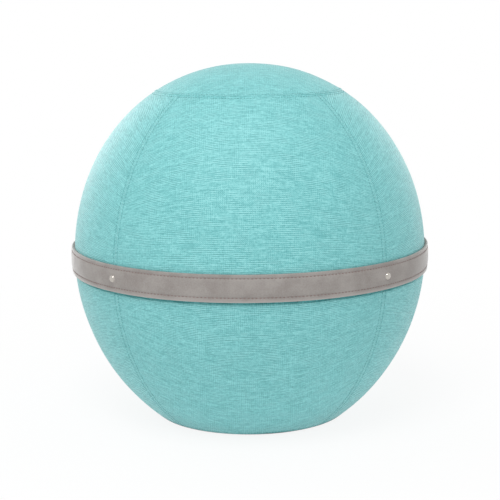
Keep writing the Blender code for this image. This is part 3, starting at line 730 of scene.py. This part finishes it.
# Felted polyester: pale grey, matt, with a short fuzzy nap.
felt = mottled(
    "grey_felted_polyester", "#96918D", "#B0AAA5", size=0.00143, detail=3.0, bump=(0.0003, 0.5),
    Roughness=0.95, IOR=1.5, Specular_IOR_Level=0.2, Sheen_Weight=0.25,
)
bearings = np.linspace(BACK + lining_gap, BACK + math.tau - lining_gap, lining_steps + 1)
lining_across = np.linspace(-1, 1, lining_rows) * (belt_half - lining_setback)
across = np.concatenate([lining_across, lining_across[::-1]])
out = np.repeat([lining_thickness, 0.0], lining_rows)
lining = band_object("belt_lining_felt", bearings, np.full(len(bearings), lining_inner), across, out)
finished(lining, felt, "ball", "belt_lining", "belt_lining")

# Belt strap: two layers of nubuck-look leatherette, turned in and sewn along both edges, so each edge is
# rounded and a little puffed outside its stitch row. One end laps over the other at the back.
edge_roll, edge_share = 0.0009, 0.25
edge_puff, edge_puff_width, centre_puff = 0.0002, 0.0022, 0.0009
face_inset = 0.0003
belt_stitch_line, belt_stitch_rise = 0.0137, 0.0008
strap_groove, strap_groove_width = 0.0006, 0.0008
outer_rows, inner_rows, strap_steps = 69, 13, 420


def strap_face(across):
    """How far the belt's outer face stands from its inner one."""
    past = np.clip((np.abs(across) - (belt_half - edge_roll)) / edge_roll, 0, 1)
    rolled = strap_thickness * (edge_share + (1 - edge_share) * np.sqrt(1 - past**2))
    from_middle = np.abs(across - belt_stitch_rise)
    groove = strap_groove * bell(from_middle - belt_stitch_line, strap_groove_width)
    puff = edge_puff * bell(from_middle - (belt_half + belt_stitch_line) / 2, edge_puff_width)
    crown = centre_puff * np.clip(1 - (from_middle / belt_stitch_line) ** 4, 0, 1)
    return rolled + puff + crown - groove - face_inset


def strap_seat(bearing):
    """The radius of the belt's inner face: on the lining, tucked under at one end, lapped at the other."""
    marks = [BACK + lap_half, BACK + lap_half + lap_ramp,
             BACK + math.tau - lap_half - lap_ramp, BACK + math.tau - lap_half]
    return np.interp(bearing, marks, [lining_inner, strap_inner, strap_inner, lapped_inner])


# Nubuck-look polyurethane leatherette: warm grey, cloudy where the nap lies differently, soft dull gloss,
# and painted paler along its lower edge band, a painted sheen. Its nap and grain are drawn coarser than real
# so that they show.
cloud_size, nap_size, grain_size = 0.03125, 0.00192, 0.00111
leatherette, tree, shader = new_material(
    "grey_nubuck_leatherette",
    Roughness=0.62,
    IOR=1.5,
    Specular_IOR_Level=0.4,
    Sheen_Weight=0.7,
    Sheen_Roughness=0.3,
)
place = add(tree, "ShaderNodeTexCoord").outputs["Object"]
inputs = {"Vector": place, "Scale": 1 / cloud_size, "Detail": 4.0, "Roughness": 0.55}
clouds = add(tree, "ShaderNodeTexNoise", inputs)
nap = add(tree, "ShaderNodeTexNoise", {"Vector": place, "Scale": 1 / nap_size, "Detail": 2.0})
mixed = add(tree, "ShaderNodeMath", {0: nap, 1: 0.5, 2: clouds}, operation="MULTIPLY_ADD")
tone = add(tree, "ShaderNodeMapRange", {"Value": mixed, "From Min": 0.5, "From Max": 1.0})
greys = [(0.15, "#918A86"), (0.5, "#9A9490"), (0.85, "#A39D99")]
grey = add(tree, "ShaderNodeValToRGB", {"Fac": tone}, greys)
cloth = add(tree, "ShaderNodeUVMap", uv_map="cloth")
girth = add(tree, "ShaderNodeSeparateXYZ", {"Vector": cloth}).outputs["Y"]
# Painted sheen: the band below the lower stitch row is painted paler towards the belt's lower edge.
inputs = {"Value": girth, "From Min": belt_half - belt_stitch_line, "From Max": 0.001}
painted_sheen_band = add(tree, "ShaderNodeMapRange", inputs)
grey_with_painted_sheen = add(tree, "ShaderNodeMix", {0: painted_sheen_band, 6: grey, 7: linear("#B3AEAB")}, data_type="RGBA").outputs[2]
grain = add(tree, "ShaderNodeTexVoronoi", {"Vector": place, "Scale": 1 / grain_size})
pebbled = add(tree, "ShaderNodeBump", {"Height": grain, "Distance": 0.0003, "Strength": 0.35})
join(tree, shader, {"Base Color": grey_with_painted_sheen, "Normal": pebbled})

outer_across = belt_half * np.sin(np.linspace(-QUARTER, QUARTER, outer_rows))
across = np.concatenate([outer_across, np.linspace(belt_half, -belt_half, inner_rows)])
out = np.concatenate([strap_face(outer_across), np.zeros(inner_rows)])
bearings = np.linspace(BACK - lap_half, BACK + math.tau + lap_half, strap_steps + 1)
strap = band_object("belt_strap_leatherette", bearings, strap_seat(bearings), across, out)
finished(strap, leatherette, "ball", "leatherette", "belt_strap")

# Belt stitching: one row along each edge joins the belt's two layers, and two short rows across the lap
# close it. The polyester thread is heavier than the cover's.
belt_pitch, belt_stitch, belt_thread_width = 0.0055, 0.0036, 0.0019
row_start_angle, row_stop_angle = 0.010, 0.012
lap_rows = (0.005, 0.040)
edge_points, lap_points = 420, 30


def strap_row(bearing, across):
    """A stitch row on the belt, with the outward directions."""
    bearing, across = np.broadcast_arrays(bearing, across)
    radius = strap_seat(bearing) + strap_face(across) - camber(across)
    return around_axis(radius, bearing, belt_height + across), around_axis(1.0, bearing, 0.0), False


# Bonded polyester thread in brown-grey: smooth, a little glossy, darker than the belt.
belt_thread = mottled(
    "brown_grey_polyester_thread", "#7A6864", "#95827E", size=fibre_size, detail=1.0,
    Roughness=0.5, IOR=1.5,
)
lap_end = BACK + math.tau + lap_half
shown = np.linspace(BACK + lap_half + row_start_angle, lap_end - row_stop_angle, edge_points)
rows = [strap_row(shown, belt_stitch_rise + side * belt_stitch_line) for side in (-1, 1)]
lap_across = belt_stitch_rise + np.linspace(-belt_stitch_line, belt_stitch_line, lap_points)
rows += [strap_row(lap_end - from_end / strap_inner, lap_across) for from_end in lap_rows]
sew("belt_stitching", rows, belt_thread, "leatherette", belt_pitch, belt_stitch, belt_thread_width)

# Rivet caps: domed, drawn from sheet brass, nickel plated and polished, with a small flange.
# Each is pressed on a post through the belt and the side seam behind it.
rivet_bearings = {
    "front_right": -QUARTER / 2,
    "back_right": QUARTER / 2,
    "back_left": 3 * QUARTER / 2,
    "front_left": 5 * QUARTER / 2,
}
rivet_radius, rivet_crown, rivet_lip, rivet_skirt = 0.0055, 0.003, 0.0006, 0.0004
dome_radius, flange_radius = 0.92 * rivet_radius, 0.97 * rivet_radius
rivet_seat = belt_high.x + clearance
dome_points, rivet_sides = 13, 40
dome = [(dome_radius * math.sin(a), rivet_lip + rivet_crown * math.cos(a))
        for a in np.linspace(0.0, QUARTER, dome_points)]
flange = [(flange_radius, rivet_lip), (rivet_radius, 0.6 * rivet_lip), (rivet_radius, -rivet_skirt)]

# Polished nickel plate: bright and warm, with fine handling marks.
nickel = mottled(
    "polished_nickel_plate", "#B2ADA6", "#C6C1BA", size=0.0025, detail=3.0,
    roughness=(0.08, 0.22), Metallic=1.0,
)
rivet_caps, given = new_tree("rivet_caps", Places="Geometry", Cap="Object", Finish="Material")
one_cap = add(rivet_caps, "GeometryNodeObjectInfo", {"Object": given["Cap"]}, transform_space="ORIGINAL")
along = add(rivet_caps, "GeometryNodeInputNamedAttribute", {"Name": "along"}, data_type="FLOAT_VECTOR")
lay(rivet_caps, given["Places"], one_cap.outputs["Geometry"], along, given["Finish"])
cap = turned_object("rivet_cap", dome + flange + [(0.0, -rivet_skirt)], rivet_sides)
bearings = np.array(list(rivet_bearings.values()))
places = around_axis(rivet_seat, bearings, belt_height).tolist()
directions = {"along": around_axis(1.0, bearings + QUARTER, 0.0), "out": around_axis(1.0, bearings, 0.0)}
caps = laid("rivet_caps", rivet_caps, places, [], directions, {"Cap": cap, "Finish": nickel})
bpy.data.objects.remove(cap)
finished(caps, nickel, "ball", "nickel", *(f"rivet_cap_{place}" for place in rivet_bearings))
for place in rivet_bearings:
    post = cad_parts[f"rivet_post_{place}"]
    post.data.materials.clear()
    post.data.materials.append(nickel)

# Ballast ring: an unbleached cotton canvas pouch full of dry sand, in a ring round the valve.
# Both hems are sewn flat, and the filled part puckers towards them.
ballast_low, ballast_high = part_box("ballast_ring")
hem_reach, hem_cloth, ballast_hole = 0.008, 0.0015, 0.040
ballast_rim, ballast_bore = ballast_high.x, ballast_hole - hem_reach
ballast_outer = ballast_rim - hem_reach
ballast_middle, ballast_half = (ballast_outer + ballast_hole) / 2, (ballast_outer - ballast_hole) / 2
hem_bottom, ballast_swell = ballast_low.z, ballast_high.z - ballast_low.z - hem_cloth
ballast_fullness = 0.7
pleat_depth, pleat_reach = 0.0009, 0.55
pleat_counts, pleat_share, pleat_offset = (31, 47), 0.6, 1.1
ballast_sides, arch_points = 216, 33

# Unbleached cotton canvas: a plain, even weave of thick beige yarns.
canvas, tree, shader = new_material(
    "unbleached_cotton_canvas", Roughness=0.9, IOR=1.5, Specular_IOR_Level=0.2, Sheen_Weight=0.15
)
cloth = add(tree, "ShaderNodeUVMap", uv_map="cloth")
yarns = streaks(tree, cloth, long=0.009, thick=0.0015, Detail=2.0)
weave(tree, shader, cloth, yarns, [(0.3, "#A2977F"), (0.7, "#C0B69F")], yarn=0.0012, depth=0.0004)

arch = np.linspace(0, math.pi, arch_points)
fill = np.sin(arch) ** ballast_fullness
filled = zip(ballast_middle + ballast_half * np.cos(arch), hem_bottom + hem_cloth + ballast_swell * fill)
outer_hem = [(ballast_rim, hem_bottom), (ballast_rim, hem_bottom + hem_cloth)]
inner_hem = [(ballast_bore, hem_bottom + hem_cloth), (ballast_bore, hem_bottom)]
bearing = np.linspace(0, math.tau, ballast_sides + 1)
pleat = pleat_share * np.sin(pleat_counts[1] * bearing + pleat_offset)
pleat = 1 + (np.sin(pleat_counts[0] * bearing) + pleat) / (1 + pleat_share)
pleats = pleat_depth * pleat[:, None] * fill * bell(np.minimum(arch, math.pi - arch), pleat_reach)
pouch = outer_hem + list(filled) + inner_hem
ballast = turned_object("ballast_ring_pouch", pouch, ballast_sides, plan=True,
                        sunk=np.pad(pleats, ((0, 0), (len(outer_hem), len(inner_hem) + 1))))
finished(ballast, canvas, "ball", "ballast", "ballast_ring")
hem_radii = (ballast_outer + hem_reach / 2, ballast_hole - hem_reach / 2)
rows = [flat_ring(radius, hem_bottom + hem_cloth, 1.0) for radius in hem_radii]
sew("ballast_stitching", rows, black_thread, "ballast")

# Air ball: one skin of soft vinyl, rotation moulded, blown up until it fills the cover.
# It is flattened where it rests on the ballast, and a moulded boss in its floor takes the valve plug.
bladder_low, bladder_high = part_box("bladder")
bladder_inset, bladder_wall = ball_radius - bladder_high.x, 0.0012
bladder_floor, bladder_sides, skin_steps = bladder_low.z, 144, 240
waist_depth, waist_width = 0.7 * bite_depth, 0.006
valve_radius, boss_radius, chamfer = 0.005, 0.009, 0.0006
valve_margin, floor_points = 0.001, 12
boss_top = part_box("valve_plug")[1].z + clearance


def bladder_skin(inset, floor):
    """The (radius, height) outline of a skin inside the cover, waisted by the belt, down to a flat floor."""
    radius, height, out, up = outline(np.linspace(0, math.pi, skin_steps + 1))
    inset = inset + waist_depth * bell(belt_height - bite_at - height, waist_width)
    radius, height = radius - inset * out, height - inset * up
    above = height > floor
    return [(max(r, 0.0), z) for r, z in zip(radius[above], height[above])]


# Soft vinyl: silver grey, faintly pebbled by its mould, with a dull plastic gloss.
vinyl = mottled(
    "grey_moulded_vinyl", "#A3A8AC", "#B7BBBF", size=0.00385, detail=2.0, bump=(0.0004, 0.4),
    Roughness=0.42, IOR=1.53, Specular_IOR_Level=0.45,
)
outer_skin = bladder_skin(bladder_inset, bladder_floor)
inner_skin = bladder_skin(bladder_inset + bladder_wall, bladder_floor + bladder_wall)
floor_radii = np.linspace(outer_skin[-1][0], valve_radius + valve_margin, floor_points)
valve = [
    (valve_radius + chamfer, bladder_floor),
    (valve_radius, bladder_floor + chamfer),
    (valve_radius, boss_top),
    (boss_radius - chamfer, boss_top),
    (boss_radius, boss_top - chamfer),
    (boss_radius, bladder_floor + bladder_wall),
]
skin = outer_skin + [(r, bladder_floor) for r in floor_radii] + valve + inner_skin[::-1]
air_ball = turned_object("bladder_vinyl", skin, bladder_sides)
finished(air_ball, vinyl, "ball", "bladder_vinyl", "bladder")

# Valve plug: a push-in stopper with a round flange and a stub to grip, moulded in one piece.
# It is held by its fit in the boss of the air ball.
plug_edge = 0.0005

# Hard vinyl: white, smooth from its mould, with a plastic gloss.
plug_vinyl = mottled(
    "white_moulded_vinyl", "#E2E2DE", "#F0F0EC", size=0.00333, detail=2.0, Roughness=0.4, IOR=1.53
)
plug = merged_copy(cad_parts["valve_plug"].data, "valve_plug_vinyl", plug_edge)
finished(plug, plug_vinyl, "plug", "plug_vinyl", "valve_plug")

# Studio: a white sweep under an even, bright sky, with a broad soft lamp above the front and two behind,
# which pick out the limbs. The floor and the sky show white, in metal too, and the floor keeps a faint
# shadow. It is clear from below, so that the base can be seen.
floor_half, floor_drop = 12.0, 0.0003
floor_white, floor_glow, sky_strength = 0.88, 0.34, 0.60
shadow_reach = (0.35, 1.1)


def shown_rays(tree):
    """1 for rays that show the studio, straight or in metal and glass, and 0 for those that light."""
    rays = add(tree, "ShaderNodeLightPath").outputs
    direct = {0: rays["Is Camera Ray"], 1: rays["Is Glossy Ray"]}
    direct = add(tree, "ShaderNodeMath", direct, operation="MAXIMUM")
    return add(tree, "ShaderNodeMath", {0: direct, 1: rays["Is Transmission Ray"]}, operation="MAXIMUM")


mesh = bpy.data.meshes.new("studio_floor")
corners = [(x * floor_half, y * floor_half, -floor_drop) for x, y in ((-1, -1), (1, -1), (1, 1), (-1, 1))]
mesh.from_pydata(corners, [], [(0, 1, 2, 3)])
floor = new_object("studio_floor", mesh)
sweep, tree, shader = new_material(
    "white_studio_sweep", Base_Color=linear("#FAFAFA"), Roughness=0.9, Specular_IOR_Level=0.0
)
spot = add(tree, "ShaderNodeTexCoord").outputs["Object"]
away = add(tree, "ShaderNodeVectorMath", {0: spot}, operation="LENGTH").outputs["Value"]
inputs = {"Value": away, "From Min": shadow_reach[0], "From Max": shadow_reach[1], "To Min": floor_white}
paper = add(tree, "ShaderNodeMapRange", inputs)
inputs = {"Value": shown_rays(tree), "To Min": floor_glow, "To Max": paper}
share = add(tree, "ShaderNodeMapRange", inputs)
white = add(tree, "ShaderNodeEmission")
lit = add(tree, "ShaderNodeMixShader", {"Fac": share, 1: shader, 2: white})
underside = add(tree, "ShaderNodeNewGeometry").outputs["Backfacing"]
clear = add(tree, "ShaderNodeBsdfTransparent")
one_sided = add(tree, "ShaderNodeMixShader", {"Fac": underside, 1: lit, 2: clear})
join(tree, tree.nodes["Material Output"], {"Surface": one_sided})
mesh.materials.append(sweep)

world = bpy.data.worlds.new("white_studio")
bpy.context.scene.world = world
world.use_nodes = True
tree = world.node_tree
level = add(tree, "ShaderNodeMapRange", {"Value": shown_rays(tree), "To Min": sky_strength})
join(tree, tree.nodes["Background"], {"Color": (1, 1, 1, 1), "Strength": level})


def soft_lamp(name, place, size, power):
    """A square soft box aimed at the ball."""
    light = bpy.data.lights.new(name, "AREA")
    light.size = size
    light.energy = power
    lamp = new_object(name, light)
    lamp.location = place
    lamp.rotation_euler = (Vector((0, 0, belt_height)) - lamp.location).to_track_quat("-Z", "Y").to_euler()


soft_lamp("key_softbox", (-0.45, -1.7, 3.2), 1.6, 54.0)
soft_lamp("left_rim_softbox", (-1.9, 3.0, 1.1), 1.6, 26.0)
soft_lamp("right_rim_softbox", (1.9, 3.0, 1.1), 1.6, 12.0)

# Camera: a little above the crown, 10 degrees above the belt, with a long lens.
# Its shift and tilt put the belt's centre on a measured pixel of a frame of 500 by 500.
view_distance = 2.094
view_elevation = math.radians(10.44)
view_roll = math.radians(-0.565)
focal_pixels, frame_pixels = 1320.3, 500.0
belt_across_pixel, belt_down_pixel = 249.8, 252.5
camera_data = bpy.data.cameras.new("photo_camera")
camera_data.lens = camera_data.sensor_width * focal_pixels / frame_pixels
camera_data.shift_x = 0.5 - belt_across_pixel / frame_pixels
camera = new_object("photo_camera", camera_data)
away = Vector((0, -math.cos(view_elevation), math.sin(view_elevation)))
camera.location = Vector((0, 0, belt_height)) + view_distance * away
tilt_up = math.atan((belt_down_pixel - frame_pixels / 2) / focal_pixels)
camera.rotation_euler = (QUARTER - view_elevation + tilt_up, 0, 0)
camera.rotation_euler.rotate_axis("Z", view_roll)
bpy.context.scene.camera = camera
bpy.context.scene.view_settings.view_transform = "Standard"
